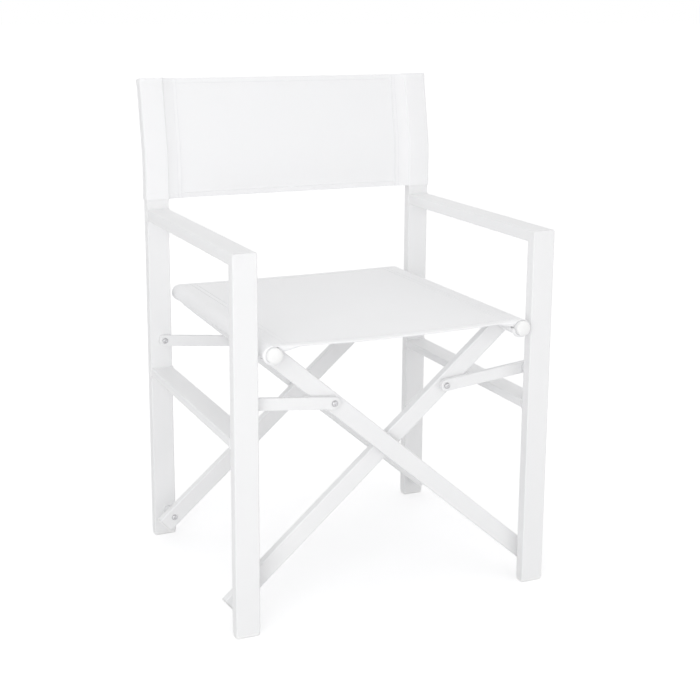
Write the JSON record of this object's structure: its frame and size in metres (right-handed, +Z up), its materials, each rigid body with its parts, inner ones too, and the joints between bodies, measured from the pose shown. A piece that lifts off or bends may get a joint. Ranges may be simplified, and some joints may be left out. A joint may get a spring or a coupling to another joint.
{
  "type": "folding patio chair",
  "caption": "White folding director's chair: flat-tube side frames with armrests, crossed bars on pivots, tensioned mesh seat and back slings that close sideways.",
  "frame": {"origin": "on the floor, under the middle of the chair's bounding box", "axes": "+Z up, the sitter faces -Y, +X to the right seen from the front"},
  "size_m": [0.5664, 0.5142, 0.8451],
  "materials": {
    "white_powder_coat": "satin white powder coat",
    "white_plastic": "moulded, matte",
    "grey_nylon": "turned, matte",
    "stainless_steel": "plain bolt steel",
    "white_sling_mesh": "woven coated yarn"
  },
  "bodies": {
    "left_frame": {"front_leg_left": "white_powder_coat", "rear_post_left": "white_powder_coat", "armrest_left": "white_powder_coat", "side_rail_left": "white_powder_coat", "front_foot_left": "white_plastic", "rear_foot_left": "white_plastic", "post_cap_left": "white_plastic", "link_leg_bolt_left_front": "stainless_steel", "link_leg_bolt_left_rear": "stainless_steel", "lower_bolt_left_front": "stainless_steel", "lower_bolt_left_rear": "stainless_steel", "lower_spacer_left_front": "grey_nylon", "lower_spacer_left_rear": "grey_nylon", "back_sling": "white_sling_mesh"},
    "right_frame": {"front_leg_right": "white_powder_coat", "rear_post_right": "white_powder_coat", "armrest_right": "white_powder_coat", "side_rail_right": "white_powder_coat", "front_foot_right": "white_plastic", "rear_foot_right": "white_plastic", "post_cap_right": "white_plastic", "link_leg_bolt_right_front": "stainless_steel", "link_leg_bolt_right_rear": "stainless_steel", "link_spacer_right_front": "grey_nylon", "link_spacer_right_rear": "grey_nylon", "lower_bolt_right_front": "stainless_steel", "lower_bolt_right_rear": "stainless_steel", "lower_spacer_right_front": "grey_nylon", "lower_spacer_right_rear": "grey_nylon"},
    "x_bars_a": {"crossbar_a_front": "white_powder_coat", "crossbar_a_rear": "white_powder_coat", "crossbar_a_front_plug": "white_plastic", "crossbar_a_rear_plug": "white_plastic", "seat_tube_left": "white_powder_coat", "seat_tube_cap_left_front": "white_plastic", "seat_tube_cap_left_rear": "white_plastic", "link_bush_left_front": "grey_nylon", "link_bush_left_rear": "grey_nylon", "centre_bolt_front": "stainless_steel", "centre_bolt_rear": "stainless_steel", "seat_sling": "white_sling_mesh"},
    "x_bars_b": {"crossbar_b_front": "white_powder_coat", "crossbar_b_rear": "white_powder_coat", "crossbar_b_front_plug": "white_plastic", "crossbar_b_rear_plug": "white_plastic", "seat_tube_right": "white_powder_coat", "seat_tube_cap_right_front": "white_plastic", "seat_tube_cap_right_rear": "white_plastic", "link_bush_right_front": "grey_nylon", "link_bush_right_rear": "grey_nylon", "centre_washer_front": "grey_nylon", "centre_washer_rear": "grey_nylon"},
    "left_links": {"link_left_front": "white_powder_coat", "link_left_rear": "white_powder_coat", "link_bar_bolt_left_front": "stainless_steel", "link_bar_bolt_left_rear": "stainless_steel"},
    "right_links": {"link_right_front": "white_powder_coat", "link_right_rear": "white_powder_coat", "link_bar_bolt_right_front": "stainless_steel", "link_bar_bolt_right_rear": "stainless_steel"}
  },
  "joints": [
    {"name": "fold", "type": "hinge", "parent": "left_frame", "child": "x_bars_b", "pos_m": [-0.255, 0, 0.048], "axis": [0, -1, 0], "range_deg": [0, 35.05], "deforming": ["seat_sling", "back_sling"]},
    {"name": "bars_cross", "type": "hinge", "parent": "x_bars_b", "child": "x_bars_a", "pos_m": [0, 0, 0.2685], "axis": [0, -1, 0], "range_deg": [-76, 0]},
    {"name": "right_frame_pivot", "type": "hinge", "parent": "x_bars_a", "child": "right_frame", "pos_m": [0.255, 0, 0.048], "axis": [0, -1, 0], "range_deg": [0, 35.05]},
    {"name": "left_link_pivot", "type": "hinge", "parent": "left_frame", "child": "left_links", "pos_m": [-0.255, 0, 0.375], "axis": [0, -1, 0], "range_deg": [0, 71.58]},
    {"name": "right_link_pivot", "type": "hinge", "parent": "right_frame", "child": "right_links", "pos_m": [0.255, 0, 0.375], "axis": [0, -1, 0], "range_deg": [-71.58, 0]}
  ],
  "couplings": [
    {"joint": "bars_cross", "follows": "fold", "ratio": -2.1682},
    {"joint": "right_frame_pivot", "follows": "fold", "ratio": 1},
    {"joint": "left_link_pivot", "follows": "fold", "ratio": 2.042},
    {"joint": "right_link_pivot", "follows": "fold", "ratio": -2.042}
  ]
}
